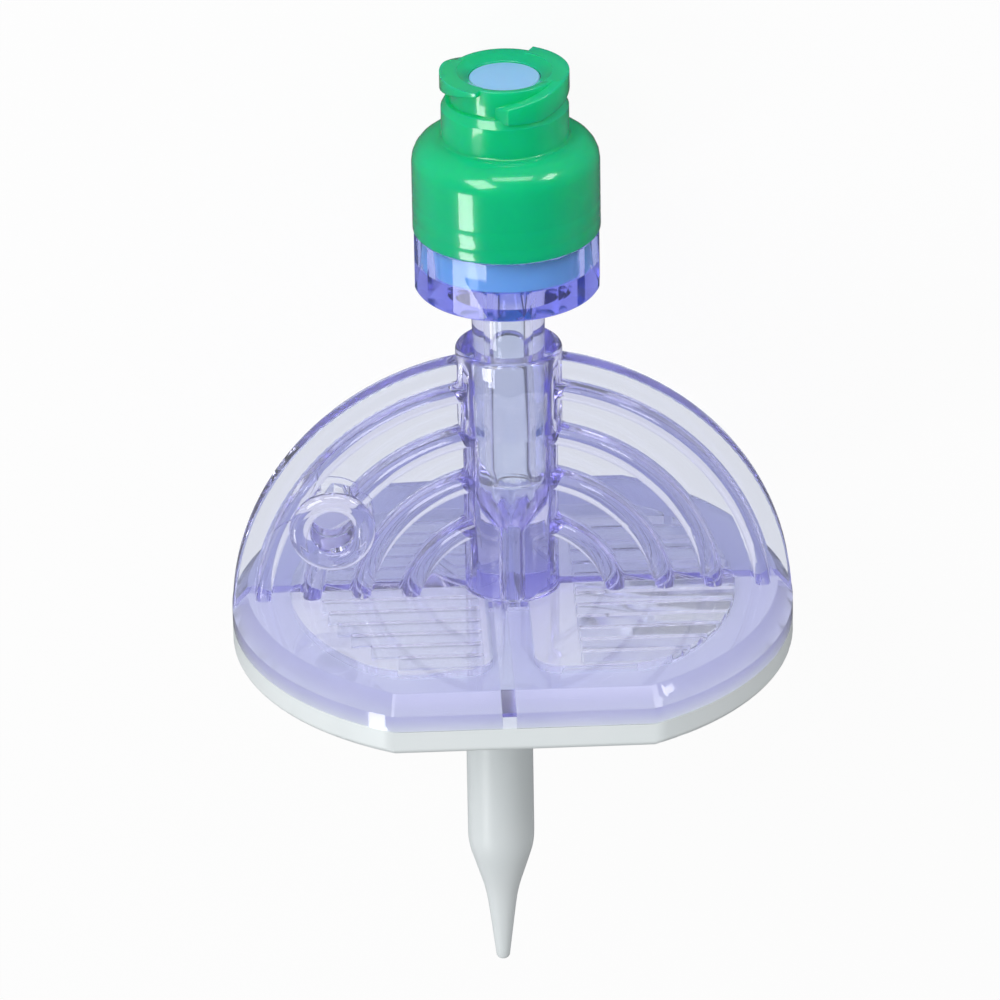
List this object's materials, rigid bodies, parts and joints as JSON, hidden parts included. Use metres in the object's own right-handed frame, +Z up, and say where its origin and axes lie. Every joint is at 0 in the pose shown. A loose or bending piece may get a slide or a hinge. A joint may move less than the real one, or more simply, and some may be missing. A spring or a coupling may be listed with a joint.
{
  "type": "dispensing spike",
  "caption": "Vented spike with a round plate, a ribbed grip wall and a needle-free luer valve, for drawing fluid from a vial.",
  "frame": {"origin": "centre of the bounding box at the floor, with the part lying on its back", "axes": "+Z up from the floor, -Y towards the valve end, +Y towards the spike's tip; the ribbed front of the grip faces up"},
  "size_m": [0.0348, 0.0594, 0.0302],
  "materials": {
    "white_plastic": "satin moulded",
    "clear_lilac_plastic": "clear polished moulding",
    "filter_membrane": "fine matt membrane",
    "clear_violet_plastic": "clear polished moulding",
    "blue_silicone": "satin elastic",
    "green_plastic": "translucent polished moulding"
  },
  "bodies": {
    "root": {"spike_base": "white_plastic", "grip_cover": "clear_lilac_plastic", "air_filter_left": "filter_membrane", "air_filter_right": "filter_membrane", "valve_base": "clear_violet_plastic", "valve_seal": "blue_silicone", "valve_cap": "green_plastic"}
  },
  "joints": []
}
